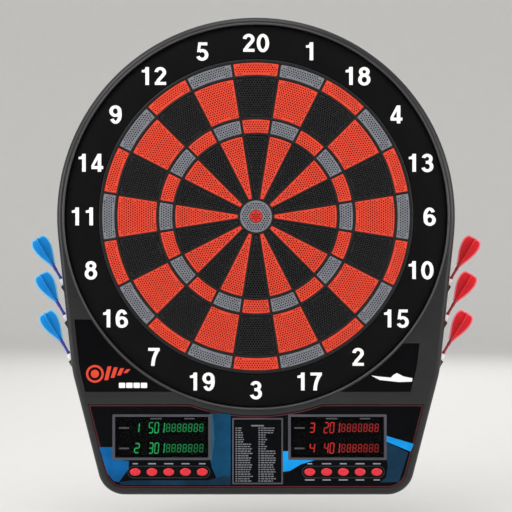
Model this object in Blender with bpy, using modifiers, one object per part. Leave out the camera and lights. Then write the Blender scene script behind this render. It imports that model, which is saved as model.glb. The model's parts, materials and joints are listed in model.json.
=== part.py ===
"""Electronic dartboard with six soft-tip darts in its side holders.

The board is drawn lying on its back: x to the right, y up the board, z from the wall towards the thrower.
An empty named board then stands it up, so that in the world +Z is up and the front looks along -Y.
The origin is the centre of the target, on the wall behind it. All sizes are in metres.
"""

import math

import bmesh
import bpy
from mathutils import Matrix

# ------------------------------------------------------------------ driving dimensions

# Clearances
GAP = 0.0003  # between two pieces that touch
RUNNING_GAP = 0.00035  # between a piece that slides and the hole that guides it

# Target, whose double ring is 15.5 inches across at the outside of its wall
BEDS = 20
BED_ANGLE = math.tau / BEDS
BED_RINGS = ((0.0229, 0.1024), (0.1058, 0.1228), (0.1262, 0.1754), (0.1788, 0.1946))
RADIAL_WALL = 0.0020
SPIDER_RADIUS = 0.1990
SPIDER_FLANGE = (0.1960, 0.2330)
BULL_RADIUS = 0.0204
INNER_BULL_RADIUS = 0.0077
BULL_GAP = 0.0005
BED_ARC_STEPS = 2
TARGET_STEPS = BEDS * BED_ARC_STEPS
BULL_STEPS = 20
ROUND_STEPS = 54

# Sheets behind the target
MAT_RADIUS, FILM_RADIUS, BACKING_RADIUS = 0.2050, 0.2030, 0.2070
TAIL_WIDTH, TAIL_END = 0.0400, -0.2620

# Outline of the casing
TOP_RADIUS = 0.2515
UPPER_LEAN, LOWER_LEAN = math.radians(6.0), math.radians(14.4)
BEND_Y, BEND_RADIUS = -0.1950, 0.1500
CORNER_RADIUS = 0.0340
BOTTOM = -0.3515
WALL = 0.0026

# Distances from the wall, back to front
REAR_PLATE = 0.0025
REAR_RIM = 0.0080
BOARD_BACK, BOARD_FRONT = 0.0080, 0.0106
FILM_BACK, FILM_FRONT = 0.0109, 0.0116
MAT_BACK, MAT_FRONT = 0.0119, 0.0144
WEB_BACK, WEB_FRONT = 0.0160, 0.0177
SPIDER_BACK, SPIDER_FRONT = 0.0180, 0.0330
BED_FRONT = 0.0320
BULL_FRONT, INNER_BULL_FRONT = 0.0323, 0.0328
FLANGE_BACK, FLANGE_FRONT = 0.0274, 0.0300
DECK_BACK, DECK_FRONT = 0.0334, 0.0380
RING_FRONT = 0.0336

# Openings in the front of the casing
WELL_OPENING, WELL_RADIUS = 0.2360, 0.2412
RIM_RADIUS = 0.2510
EDGE_ROUNDING = 0.0070

# Control panel
PANEL_TOP = -0.2370
PANEL_INSET = 0.0095
PANEL_LEDGE = 0.0358
PANEL_THICKNESS = 0.0016
LEDGE_WIDTH = 0.0040
WINDOW_SIZE = (0.1170, 0.0510)
WINDOW_CENTRES = ((-0.1188, -0.2782), (0.1025, -0.2782))
BUTTON_SIZE = (0.0136, 0.0096)
BUTTON_PITCH = 0.0211
BUTTON_BANKS = (-0.1099, 0.1099)
BUTTONS_PER_BANK = 5
BUTTON_Y = -0.3220
BUTTON_FRONT = 0.0394

# Shoulder recesses beside the target
SHOULDERS = {-1: (0.0103, -0.1300), 1: (0.0300, -0.1600)}  # side: distance from the casing's side, height of its top
SHOULDER_BOTTOM, SHOULDER_RADIUS = -0.2210, 0.2450
SHOULDER_FLOOR = 0.0366

# Electronics
PCB_BACK, PCB_FRONT = 0.0234, 0.0250
PCB_BOX = (-0.178, -0.335, 0.178, -0.246)
MODULE_SIZE = (0.1110, 0.0450)
MODULE_FRONT = 0.0340
SPEAKER_CENTRE = (0.070, -0.292)
SPEAKER_RADIUS = 0.0200
JACK_X, JACK_DEPTH = -0.090, 0.0165
JACK_RADIUS, JACK_BORE, JACK_PIN = 0.0042, 0.0029, 0.0010

# Darts and their holders
DART_LEAN = math.radians(30.5)
DART_ENTRIES = ((0.2434, -0.0882, 0.0160), (0.2385, -0.1339, 0.0190), (0.2326, -0.1832, 0.0220))
HOLDER_BORE, HOLDER_RADIUS = 0.0042, 0.0056
HOLDER_DEPTH = 0.0715
BARREL_RADIUS = 0.0033
SHAFT_RADIUS = 0.0020
FLIGHT_START, FLIGHT_LENGTH, FLIGHT_HALF_WIDTH = 0.0300, 0.0410, 0.0123
FLIGHT_THICKNESS = 0.0006

# Fixings
BOSS_RADIUS, BOSS_HOLE, BOSS_INSET = 0.0036, 0.0013, 0.0072
BOSS_ANGLES = (10, 35, 62, 90, 118, 145, 170)
LOW_BOSSES = ((0.2066, -0.2620), (0.1500, -0.3443), (0.0300, -0.3443))
KEYHOLES = ((-0.130, 0.095), (0.130, 0.095))
KEYHOLE_HEAD, KEYHOLE_SLOT, KEYHOLE_RISE = 0.0050, 0.0026, 0.0110

# ------------------------------------------------------------------ scene

for old in list(bpy.data.objects):
    bpy.data.objects.remove(old)

scene = bpy.context.scene
parts = bpy.data.collections.new("electronic_dartboard")
helpers = bpy.data.collections.new("cutters_and_bosses")
helpers.hide_render = True
scene.collection.children.link(parts)
scene.collection.children.link(helpers)

board = bpy.data.objects.new("board", None)
board.rotation_euler = (math.radians(90), 0, 0)
parts.objects.link(board)


def material(name, colour, roughness, metallic=0.0):
    made = bpy.data.materials.new(name)
    made.use_nodes = True
    shader = made.node_tree.nodes["Principled BSDF"]
    shader.inputs["Base Color"].default_value = (*colour, 1)
    shader.inputs["Roughness"].default_value = roughness
    shader.inputs["Metallic"].default_value = metallic
    return made


CASE_PLASTIC = material("case_plastic", (0.045, 0.045, 0.050), 0.45)
RING_PLASTIC = material("ring_plastic", (0.012, 0.012, 0.013), 0.50)
SPIDER_PLASTIC = material("spider_plastic", (0.020, 0.020, 0.021), 0.50)
DARK_BED = material("dark_bed", (0.022, 0.022, 0.023), 0.55)
RED_BED = material("red_bed", (0.620, 0.050, 0.025), 0.50)
GREY_BED = material("grey_bed", (0.160, 0.170, 0.190), 0.50)
RUBBER = material("mat_rubber", (0.060, 0.060, 0.060), 0.90)
FILM = material("switch_film", (0.550, 0.560, 0.520), 0.35)
BACKING = material("backing_board", (0.250, 0.160, 0.090), 0.85)
PANEL_PRINT = material("panel_print", (0.010, 0.011, 0.014), 0.35)
LENS = material("smoked_lens", (0.015, 0.015, 0.015), 0.10)
MODULE = material("display_module", (0.050, 0.050, 0.050), 0.40)
BUTTON_RUBBER = material("button_red", (0.700, 0.020, 0.030), 0.40)
CIRCUIT = material("circuit_board", (0.020, 0.130, 0.050), 0.45)
SPEAKER_METAL = material("speaker_metal", (0.300, 0.300, 0.310), 0.40, 1.0)
JACK_PLASTIC = material("jack_plastic", (0.010, 0.010, 0.010), 0.40)
BARREL_METAL = material("barrel_metal", (0.750, 0.750, 0.740), 0.25, 1.0)
BLUE_FLIGHT = material("blue_flight", (0.020, 0.230, 0.720), 0.30)
RED_FLIGHT = material("red_flight", (0.720, 0.020, 0.030), 0.30)


# ------------------------------------------------------------------ shapes


def place(obj, collection):
    """Links the object under the board, as a part or as a helper that isn't shown."""
    for owner in list(obj.users_collection):
        owner.objects.unlink(obj)
    collection.objects.link(obj)
    obj.parent = board
    if collection is helpers:
        obj.hide_render = True
        obj.display_type = "WIRE"
    return obj


def finish(obj, name, surface):
    """Names a part, gives it its material, shades its round faces smooth and puts it among the parts."""
    obj.name = name
    obj.data.materials.clear()
    obj.data.materials.append(surface)
    obj.data.shade_smooth()
    obj.data.set_sharp_from_angle(angle=math.radians(32))
    return place(obj, parts)


def circle(radius, steps=ROUND_STEPS, turn=0.5):
    """A circle about the target's centre, turned by a fraction of a step."""
    angles = [math.tau * (k + turn) / steps for k in range(steps)]
    return [(radius * math.cos(a), radius * math.sin(a)) for a in angles]


def rectangle(x0, y0, x1, y1):
    return [(x0, y0), (x1, y0), (x1, y1), (x0, y1)]


def box_about(centre, size):
    (x, y), (w, h) = centre, size
    return rectangle(x - w / 2, y - h / 2, x + w / 2, y + h / 2)


def ellipse(centre, size, steps=12):
    angles = [math.tau * k / steps for k in range(steps)]
    return [(centre[0] + size[0] / 2 * math.cos(a), centre[1] + size[1] / 2 * math.sin(a)) for a in angles]


def plate(name, loops, back, front):
    """A flat outline with its holes, as a mesh between two distances from the wall."""
    curve = bpy.data.curves.new(name, "CURVE")
    curve.dimensions = "2D"
    curve.fill_mode = "BOTH"
    curve.extrude = (front - back) / 2
    for loop in loops:
        spline = curve.splines.new("POLY")
        spline.points.add(len(loop) - 1)
        spline.use_cyclic_u = True
        for point, (x, y) in zip(spline.points, loop):
            point.co = (x, y, (front + back) / 2, 1)
    drawn = bpy.data.objects.new(name, curve)
    return meshed(place(drawn, parts))


def meshed(obj):
    """A plain mesh object in place of a curve, or of a mesh with modifiers, with its caps welded to its sides."""
    for modifier in obj.modifiers:
        modifier.show_viewport = True
    graph = bpy.context.evaluated_depsgraph_get()
    mesh = bpy.data.meshes.new_from_object(obj.evaluated_get(graph))
    weld = bmesh.new()
    weld.from_mesh(mesh)
    bmesh.ops.remove_doubles(weld, verts=weld.verts, dist=1e-6)
    bmesh.ops.recalc_face_normals(weld, faces=weld.faces)
    weld.to_mesh(mesh)
    weld.free()
    made = bpy.data.objects.new(obj.name, mesh)
    made.matrix_basis = obj.matrix_basis
    bpy.data.objects.remove(obj)
    return place(made, parts)


def copy_of(obj):
    """A separate object of the same shape, under the board."""
    return place(bpy.data.objects.new(obj.name, obj.data.copy()), parts)


def turned(name, profile, steps):
    """A solid of revolution about z. The profile is (radius, z) points down its outer side."""
    mesh = bpy.data.meshes.new(name)
    closed = profile[0][0] > 0
    edges = [(k, k + 1) for k in range(len(profile) - 1)]
    if closed:
        edges.append((len(profile) - 1, 0))
    mesh.from_pydata([(r, 0, z) for r, z in profile], edges, [])
    obj = place(bpy.data.objects.new(name, mesh), parts)
    screw = obj.modifiers.new("turn", "SCREW")
    screw.steps = steps
    screw.render_steps = steps
    screw.use_merge_vertices = True
    screw.merge_threshold = 1e-6
    return obj


def cylinder(name, radius, low, high, steps, centre=(0, 0)):
    """A cylinder along z."""
    middle = (centre[0], centre[1], (low + high) / 2)
    bpy.ops.mesh.primitive_cylinder_add(vertices=steps, radius=radius, depth=high - low, location=middle)
    obj = bpy.context.object
    obj.name = name
    return obj


def block(name, low, high):
    """A box between two corners."""
    bpy.ops.mesh.primitive_cube_add(size=1, location=[(a + b) / 2 for a, b in zip(low, high)])
    obj = bpy.context.object
    obj.name = name
    obj.dimensions = [b - a for a, b in zip(low, high)]
    bpy.ops.object.transform_apply(location=True, rotation=True, scale=True)
    return obj


def combine(obj, operation, tools):
    """Cuts the object by the tools, or joins them to it, or keeps what is in them."""
    group = bpy.data.collections.new(f"{obj.name}_{operation.lower()}")
    helpers.children.link(group)
    for tool in tools:
        place(tool, helpers)
        group.objects.link(tool)
    place(obj, parts)
    modifier = obj.modifiers.new(operation.lower(), "BOOLEAN")
    modifier.operation = operation
    modifier.operand_type = "COLLECTION"
    modifier.collection = group
    modifier.solver = "EXACT"
    modifier.show_viewport = False
    return obj


def soften(obj, width, front, segments=1):
    """Rounds the edges of a part that lie on its front face."""
    weights = obj.data.attributes.new("bevel_weight_edge", "FLOAT", "EDGE")
    for edge in obj.data.edges:
        ends = [obj.data.vertices[k].co for k in edge.vertices]
        weights.data[edge.index].value = float(min(end.z for end in ends) > front - 1e-6)
    bevel = obj.modifiers.new("soften", "BEVEL")
    bevel.limit_method = "WEIGHT"
    bevel.width = width
    bevel.segments = segments
    return obj


# ------------------------------------------------------------------ outlines


def tangent_centre(first, second):
    """The point whose distances along two directions, each (lean, distance), are the ones given."""
    (lean_1, reach_1), (lean_2, reach_2) = first, second
    scale = math.sin(lean_1 - lean_2)
    x = (reach_2 * math.sin(lean_1) - reach_1 * math.sin(lean_2)) / scale
    y = (reach_2 * math.cos(lean_1) - reach_1 * math.cos(lean_2)) / scale
    return x, y


def casing_outline(inset):
    """A round top, sides that lean in and bend, and rounded bottom corners, all drawn inset by a distance."""
    bend_x = (TOP_RADIUS + BEND_Y * math.sin(UPPER_LEAN)) / math.cos(UPPER_LEAN)
    lower_reach = bend_x * math.cos(LOWER_LEAN) - BEND_Y * math.sin(LOWER_LEAN)
    bend = tangent_centre((UPPER_LEAN, TOP_RADIUS - BEND_RADIUS), (LOWER_LEAN, lower_reach - BEND_RADIUS))
    corner_y = BOTTOM + CORNER_RADIUS
    corner_x = (lower_reach - CORNER_RADIUS + corner_y * math.sin(LOWER_LEAN)) / math.cos(LOWER_LEAN)
    arcs = (
        ((0, 0), TOP_RADIUS, math.pi / 2, -UPPER_LEAN, 17),
        (bend, BEND_RADIUS, -UPPER_LEAN, -LOWER_LEAN, 2),
        ((corner_x, corner_y), CORNER_RADIUS, -LOWER_LEAN, -math.pi / 2, 5),
    )
    right = []
    for (x, y), radius, start, end, steps in arcs:
        for k in range(steps + 1):
            angle = start + (end - start) * k / steps
            right.append((x + (radius - inset) * math.cos(angle), y + (radius - inset) * math.sin(angle)))
    left = [(-x, y) for x, y in reversed(right[1:])]
    return right + left


def clipped_casing(inset, low, high, round_radius):
    """The inset outline between two heights and outside a circle about the target, as one loop for each side."""
    edge = sorted({(round(abs(x), 9), round(y, 9)) for x, y in casing_outline(inset)}, key=lambda p: -p[1])

    def edge_x(y):
        for (x0, y0), (x1, y1) in zip(edge, edge[1:]):
            if y0 >= y >= y1 and y0 > y1:
                return x0 + (x1 - x0) * (y0 - y) / (y0 - y1)
        return edge[-1][0]

    outer = [(edge_x(high), high)] + [p for p in edge if low < p[1] < high and p[0] > 0]
    outer.append((edge_x(low), low))
    start = math.atan2(max(low, -round_radius), math.sqrt(max(round_radius**2 - low**2, 0)))
    end = math.asin(max(high / round_radius, -1))
    inner = [
        (round_radius * math.cos(start + (end - start) * k / 8), round_radius * math.sin(start + (end - start) * k / 8))
        for k in range(9)
    ]
    return outer, inner


def shoulder_outline(side):
    inset, top = SHOULDERS[side]
    outer, inner = clipped_casing(inset, SHOULDER_BOTTOM, top, SHOULDER_RADIUS)
    return [(side * x, y) for x, y in outer + inner]


def panel_outline(inset):
    """The control panel: the foot of the casing below a level line, with a bite for the target's rim."""
    top = PANEL_TOP - inset
    floor = BOTTOM + PANEL_INSET + inset
    outer, inner = clipped_casing(PANEL_INSET + inset, floor, top, RIM_RADIUS + inset)
    right = outer
    bite = [(x, y) for x, y in inner if y > -(RIM_RADIUS + inset) + 1e-6]
    arc = [p for p in bite if p[1] <= top + 1e-9]
    half = right + [(0, floor)]
    left = [(-x, y) for x, y in reversed(right)]
    mirrored_arc = [(-x, y) for x, y in reversed(arc)]
    bottom_of_bite = (0, -(RIM_RADIUS + inset))
    return half + left + mirrored_arc + [bottom_of_bite] + arc


def bed_outline(inner, outer, side_gap):
    """One bed, centred on +y, whose sides run parallel to the radial walls beside it."""

    def arc(radius):
        half = BED_ANGLE / 2 - math.asin(side_gap / radius)
        angles = [math.pi / 2 - half + 2 * half * k / BED_ARC_STEPS for k in range(BED_ARC_STEPS + 1)]
        return [(radius * math.cos(a), radius * math.sin(a)) for a in angles]

    return arc(outer) + arc(inner)[::-1]


def rotated(loop, angle):
    c, s = math.cos(angle), math.sin(angle)
    return [(x * c - y * s, x * s + y * c) for x, y in loop]


# ------------------------------------------------------------------ dart holders


def dart_turn(side):
    """Rotation that points a dart's own +z up and out of its holder, on the left (-1) or right (1)."""
    return (math.radians(-90), 0, -side * DART_LEAN)


def along_darts(name, radius, low, high, steps):
    """Six cylinders on the darts' axes."""
    made = []
    for side in (-1, 1):
        for x, y, depth in DART_ENTRIES:
            obj = cylinder(name, radius, low, high, steps)
            obj.data.transform(obj.matrix_basis)
            obj.location = (side * x, y, depth)
            obj.rotation_euler = dart_turn(side)
            made.append(obj)
    return made


# ------------------------------------------------------------------ casing


def front_bosses():
    """(x, y) of each screw boss."""
    radius = TOP_RADIUS - BOSS_INSET
    upper = [(radius * math.cos(math.radians(a)), radius * math.sin(math.radians(a))) for a in BOSS_ANGLES]
    lower = [(side * x, y) for side in (-1, 1) for x, y in LOW_BOSSES]
    return upper + lower


def make_front_housing():
    body = plate("front_housing", [casing_outline(0)], REAR_RIM + GAP, DECK_FRONT)
    soften(body, EDGE_ROUNDING, DECK_FRONT, 2)
    well_wall = WELL_RADIUS + WALL
    combine(
        body,
        "DIFFERENCE",
        [
            plate("cavity", [casing_outline(WALL)], 0, FLANGE_BACK),
            plate("deck_cavity", [casing_outline(WALL + GAP), circle(well_wall)], FLANGE_BACK - 0.002, DECK_BACK),
        ],
    )
    holders = along_darts("holder", HOLDER_RADIUS, -HOLDER_DEPTH - WALL, 0.0100, 8)
    for holder in holders:
        combine(holder, "INTERSECT", [plate("inside", [casing_outline(WALL / 2)], 0.004, DECK_BACK + 0.001)])
    bosses = [cylinder("boss", BOSS_RADIUS, REAR_RIM + GAP * 2, DECK_BACK + 0.001, 8, c) for c in front_bosses()]
    combine(body, "UNION", holders + bosses)
    jack_hole = cylinder("jack_hole", JACK_RADIUS + GAP, -0.006, 0.006, 16)
    jack_hole.location = (JACK_X, BOTTOM, JACK_DEPTH)
    jack_hole.rotation_euler = (math.radians(90), 0, 0)
    combine(
        body,
        "DIFFERENCE",
        [
            plate("well_opening", [circle(WELL_OPENING)], FLANGE_BACK - 0.0005, 0.060),
            plate("well_seat", [circle(WELL_RADIUS)], FLANGE_FRONT, 0.062),
            plate("panel_pocket", [panel_outline(0)], PANEL_LEDGE, 0.064),
            plate("panel_opening", [panel_outline(LEDGE_WIDTH)], DECK_BACK - 0.0010, 0.066),
            plate("left_shoulder", [shoulder_outline(-1)], SHOULDER_FLOOR, 0.068),
            plate("right_shoulder", [shoulder_outline(1)], SHOULDER_FLOOR, 0.068),
            jack_hole,
        ]
        + along_darts("bore", HOLDER_BORE, -HOLDER_DEPTH, 0.0200, 8)
        + [cylinder("pilot", BOSS_HOLE, 0.0, REAR_RIM + 0.012, 4, c) for c in front_bosses()],
    )
    finish(body, "front_housing", CASE_PLASTIC)


def keyhole(centre):
    """A round entry for a screw's head, and a slot above it for its shank."""
    x, y = centre
    half = math.asin(KEYHOLE_SLOT / KEYHOLE_HEAD)
    entry_turn = math.tau - 2 * half
    entry = [math.pi / 2 + half + entry_turn * k / 12 for k in range(13)]
    top = [math.pi * k / 4 for k in range(5)]
    low = [(x + KEYHOLE_HEAD * math.cos(a), y + KEYHOLE_HEAD * math.sin(a)) for a in entry]
    high = [(x + KEYHOLE_SLOT * math.cos(a), y + KEYHOLE_RISE + KEYHOLE_SLOT * math.sin(a)) for a in top]
    return low + high


def make_rear_cover():
    body = plate("rear_cover", [casing_outline(0.0006)], 0, REAR_RIM)
    ribs = [
        plate("rib_rings", [circle(0.188), circle(0.1855), circle(0.092, 30), circle(0.0895, 30)], 0.0020, BOARD_BACK - GAP)
    ]
    for k in range(3):
        rib = block("rib", (-0.1868, -0.00125, 0.0018 - k * 0.0002), (0.1868, 0.00125, BOARD_BACK - GAP * (1.5 + k / 2)))
        rib.rotation_euler = (0, 0, math.radians(15 + 60 * k))
        ribs.append(rib)
    combine(body, "DIFFERENCE", [plate("tray", [casing_outline(0.0006 + WALL)], REAR_PLATE, 0.02)])
    combine(body, "UNION", ribs)
    grille = [
        block(
            "grille_slot",
            (SPEAKER_CENTRE[0] - 0.014, SPEAKER_CENTRE[1] + k * 0.006 - 0.0014, -0.01),
            (SPEAKER_CENTRE[0] + 0.014, SPEAKER_CENTRE[1] + k * 0.006 + 0.0014, 0.01),
        )
        for k in (-2, -1, 0, 1, 2)
    ]
    combine(
        body,
        "DIFFERENCE",
        [plate("keyhole", [keyhole(c)], -0.01, 0.0072) for c in KEYHOLES]
        + grille
        + [cylinder("screw_hole", 0.0019, -0.01, 0.012, 8, c) for c in front_bosses()],
    )
    finish(body, "rear_cover", CASE_PLASTIC)


def make_number_ring():
    profile = [
        (0.2020, RING_FRONT + 0.0002),
        (0.2404, RING_FRONT - 0.0004),
        (0.2408, RING_FRONT - 0.0010),
        (0.2408, FLANGE_FRONT + GAP),
        (0.2250, FLANGE_FRONT + GAP),
        (0.2250, 0.0211),
        (0.2222, 0.0211),
        (0.2222, FLANGE_FRONT + GAP),
        (0.1994, FLANGE_FRONT + GAP),
        (0.1994, RING_FRONT - 0.0006),
    ]
    ring = turned("ring", profile, ROUND_STEPS)
    ring.rotation_euler = (0, 0, math.pi / ROUND_STEPS)
    finish(ring, "number_ring", RING_PLASTIC)


# ------------------------------------------------------------------ target


def make_spider():
    half_wall = RADIAL_WALL / 2
    holes = [circle(BULL_RADIUS + RUNNING_GAP, BULL_STEPS, 0)]
    for k in range(BEDS):
        for inner, outer in BED_RINGS:
            hole = bed_outline(inner - RUNNING_GAP, outer + RUNNING_GAP, half_wall)
            holes.append(rotated(hole, k * BED_ANGLE))
    outer_edge = circle(SPIDER_RADIUS, TARGET_STEPS)
    grid = plate("spider", [outer_edge] + holes, SPIDER_BACK, SPIDER_FRONT)
    flange_loops = [circle(SPIDER_FLANGE[1]), circle(SPIDER_FLANGE[0])]
    combine(grid, "UNION", [plate("flange", flange_loops, SPIDER_BACK + 0.0004, SPIDER_BACK + 0.0028)])
    finish(grid, "spider", SPIDER_PLASTIC)


def number_order():
    """The numbers round the board, clockwise from the top."""
    return (20, 1, 18, 4, 13, 6, 10, 15, 2, 17, 3, 19, 7, 16, 8, 11, 14, 9, 12, 5)


def make_segments():
    """One node for each number: its four beds stand on a thin web behind the spider."""
    lands = [bed_outline(inner, outer, RADIAL_WALL / 2 + RUNNING_GAP) for inner, outer in BED_RINGS]
    first = plate("segments", lands, WEB_BACK + 0.0004, BED_FRONT)
    web = plate("web", [bed_outline(0.0245, BED_RINGS[-1][1] + 0.0010, 0.0005)], WEB_BACK, WEB_FRONT)
    pattern = meshed(combine(first, "UNION", [web]))
    for k, number in enumerate(number_order()):
        obj = copy_of(pattern)
        obj.rotation_euler = (0, 0, -k * BED_ANGLE)
        finish(obj, f"segments_{number:02d}", RED_BED if k % 2 else DARK_BED)
    bpy.data.objects.remove(pattern)


def make_bulls():
    bore, counterbore, ceiling = INNER_BULL_RADIUS + BULL_GAP, 0.0102, 0.0200
    ring = [
        (BULL_RADIUS, BULL_FRONT),
        (BULL_RADIUS, WEB_FRONT),
        (0.0217, WEB_FRONT),
        (0.0217, WEB_BACK),
        (counterbore, WEB_BACK),
        (counterbore, ceiling),
        (bore, ceiling),
        (bore, BULL_FRONT),
    ]
    finish(turned("outer_bull", ring, BULL_STEPS), "outer_bull", GREY_BED)
    pin = [
        (0, INNER_BULL_FRONT),
        (INNER_BULL_RADIUS, INNER_BULL_FRONT - 0.0006),
        (INNER_BULL_RADIUS, 0.0182),
        (0.0097, 0.0182),
        (0.0097, WEB_BACK),
        (0, WEB_BACK),
    ]
    finish(turned("inner_bull", pin, BULL_STEPS), "inner_bull", RED_BED)


def make_sandwich():
    """What lies behind the segments: rubber mat, switch film with its tail, and the board that backs them."""
    finish(plate("mat", [circle(MAT_RADIUS)], MAT_BACK, MAT_FRONT), "rubber_mat", RUBBER)
    half = math.asin(TAIL_WIDTH / 2 / FILM_RADIUS)
    angles = [half - math.pi / 2 + (math.tau - 2 * half) * k / TARGET_STEPS for k in range(TARGET_STEPS + 1)]
    film = [(FILM_RADIUS * math.cos(a), FILM_RADIUS * math.sin(a)) for a in angles]
    film += [(-TAIL_WIDTH / 2, TAIL_END), (TAIL_WIDTH / 2, TAIL_END)]
    finish(plate("film", [film], FILM_BACK, FILM_FRONT), "membrane_switch", FILM)
    finish(plate("backing", [circle(BACKING_RADIUS)], BOARD_BACK, BOARD_FRONT), "pressure_board", BACKING)


# ------------------------------------------------------------------ control panel


def button_centres():
    for bank, middle in zip(("left", "right"), BUTTON_BANKS):
        for k in range(BUTTONS_PER_BANK):
            yield f"button_{bank}_{k + 1}", (middle + (k - 2) * BUTTON_PITCH, BUTTON_Y)


def make_control_panel():
    back = PANEL_LEDGE + GAP
    windows = [box_about(c, WINDOW_SIZE) for c in WINDOW_CENTRES]
    hole_size = [s + 2 * RUNNING_GAP for s in BUTTON_SIZE]
    holes = [ellipse(c, hole_size) for _, c in button_centres()]
    fascia = plate("fascia", [panel_outline(GAP)] + windows + holes, back, back + PANEL_THICKNESS)
    finish(fascia, "control_panel", PANEL_PRINT)
    for side, centre in zip(("left", "right"), WINDOW_CENTRES):
        lens = plate("lens", [box_about(centre, [s - 2 * GAP for s in WINDOW_SIZE])], back, back + 0.0015)
        finish(lens, f"display_lens_{side}", LENS)
        x, y = centre
        low = (x - MODULE_SIZE[0] / 2, y - MODULE_SIZE[1] / 2, PCB_FRONT + GAP)
        high = (x + MODULE_SIZE[0] / 2, y + MODULE_SIZE[1] / 2, MODULE_FRONT)
        module = soften(block("module", low, high), 0.0008, MODULE_FRONT)
        finish(module, f"display_module_{side}", MODULE)
    pattern = button_shape()
    for name, centre in button_centres():
        button = copy_of(pattern)
        button.location = (*centre, 0)
        finish(soften(button, 0.0010, BUTTON_FRONT), name, BUTTON_RUBBER)
    bpy.data.objects.remove(pattern)


def button_shape():
    """An oval cap with a flange behind the panel and a stem that reaches the switch."""
    flange_size = [s + 0.0022 for s in BUTTON_SIZE]
    cap = plate("cap", [ellipse((0, 0), BUTTON_SIZE)], 0.0300, BUTTON_FRONT)
    combine(
        cap,
        "UNION",
        [
            plate("flange", [ellipse((0, 0), flange_size)], 0.0339, PANEL_LEDGE),
            cylinder("stem", 0.0020, 0.0286, 0.0310, 6),
        ],
    )
    return meshed(cap)


def make_electronics():
    x0, y0, x1, y1 = PCB_BOX
    outline = [(x0 + 0.02, y0), (x1 - 0.02, y0), (x1, y0 + 0.03), (x1, y1), (x0, y1), (x0, y0 + 0.03)]
    circuit = plate("circuit", [outline], PCB_BACK, PCB_FRONT)
    components = [
        block("switch", (x - 0.003, y - 0.003, PCB_FRONT - 0.0004), (x + 0.003, y + 0.003, 0.0270))
        for _, (x, y) in button_centres()
    ]
    components.append(block("processor", (-0.020, -0.300, PCB_BACK - 0.0035), (0.016, -0.276, PCB_BACK + 0.0004)))
    components.append(block("tail_socket", (-0.024, -0.270, PCB_BACK - 0.0060), (0.024, -0.262, PCB_BACK + 0.0004)))
    combine(circuit, "UNION", components)
    finish(circuit, "controller_board", CIRCUIT)

    basket = [
        (0.0, 0.0165),
        (0.0095, 0.0165),
        (0.0095, 0.0100),
        (SPEAKER_RADIUS * 0.8, 0.0080),
        (SPEAKER_RADIUS, 0.0045),
        (SPEAKER_RADIUS, REAR_PLATE + GAP),
        (0.0, REAR_PLATE + GAP),
    ]
    speaker = turned("speaker", basket, 20)
    speaker.location = (*SPEAKER_CENTRE, 0)
    finish(speaker, "speaker", SPEAKER_METAL)

    barrel = [
        (JACK_PIN, 0.0002),
        (JACK_PIN + 0.0002, -0.0002),
        (JACK_PIN + 0.0002, -0.0100),
        (JACK_BORE, -0.0100),
        (JACK_BORE, 0.0008),
        (JACK_RADIUS, 0.0008),
        (JACK_RADIUS, -0.0030),
        (0.0050, -0.0030),
        (0.0050, -0.0130),
        (0.0, -0.0130),
        (0.0, 0.0002),
    ]
    barrel = [barrel[-1]] + barrel[:-1]
    jack = turned("jack", barrel, 16)
    jack.modifiers["turn"].use_normal_flip = False
    jack.location = (JACK_X, BOTTOM + 0.0016, JACK_DEPTH)
    jack.rotation_euler = (math.radians(90), 0, 0)
    finish(jack, "power_jack", JACK_PLASTIC)


# ------------------------------------------------------------------ darts


def flight_outline():
    """A pear-shaped flight, as (half width, distance along the dart) from its nose to its tail."""
    shape = ((0.16, 0.00), (0.42, 0.12), (0.80, 0.45), (1.00, 0.74), (0.92, 0.90), (0.62, 1.00))
    side = [(w * FLIGHT_HALF_WIDTH, FLIGHT_START + s * FLIGHT_LENGTH) for w, s in shape]
    return side + [(-w, s) for w, s in reversed(side)]


def barrel_shape():
    """A dart's barrel and its soft tip."""
    tip = -HOLDER_DEPTH + GAP
    profile = [
        (0.0, 0.0065),
        (0.0026, 0.0065),
        (BARREL_RADIUS, 0.0052),
        (BARREL_RADIUS, -0.0420),
        (0.0024, -0.0460),
        (0.0013, -0.0480),
        (0.0011, -0.0660),
        (0.0005, tip),
        (0.0, tip),
    ]
    return meshed(turned("barrel", profile, 10))


def shaft_shape():
    """A dart's shaft with the four vanes of its flight."""
    profile = [(0.0, 0.0640), (0.0012, 0.0640), (SHAFT_RADIUS, 0.0330), (SHAFT_RADIUS, 0.0068), (0.0, 0.0068)]
    shaft = turned("shaft", profile, 8)
    wings = []
    for turn in (0, math.radians(90)):
        wing = plate("wing", [flight_outline()], -FLIGHT_THICKNESS / 2, FLIGHT_THICKNESS / 2)
        wing.data.transform(Matrix.Rotation(turn, 4, "Z") @ Matrix.Rotation(math.radians(90), 4, "X"))
        wings.append(wing)
    return meshed(combine(shaft, "UNION", wings))


def make_darts():
    patterns = {"barrel": barrel_shape(), "flight": shaft_shape()}
    for word, side, colour in (("left", -1, BLUE_FLIGHT), ("right", 1, RED_FLIGHT)):
        for k, (x, y, depth) in enumerate(DART_ENTRIES):
            for piece, surface in (("barrel", BARREL_METAL), ("flight", colour)):
                obj = copy_of(patterns[piece])
                obj.location = (side * x, y, depth)
                obj.rotation_euler = dart_turn(side)
                finish(obj, f"{word}_dart_{k + 1}_{piece}", surface)
    for pattern in patterns.values():
        bpy.data.objects.remove(pattern)


make_front_housing()
make_rear_cover()
make_number_ring()
make_spider()
make_segments()
make_bulls()
make_sandwich()
make_control_panel()
make_electronics()
make_darts()

# The Booleans stay off while the parts are drawn, so that each is worked out once.
for obj in bpy.data.objects:
    for modifier in obj.modifiers:
        modifier.show_viewport = True
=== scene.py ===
"""The looks of an electronic dartboard and its six darts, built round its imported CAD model.

Most pieces are drawn lying on their back, as (x, y up the board, distance from the wall), and then stood up.
All sizes are in metres.
"""

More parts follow.
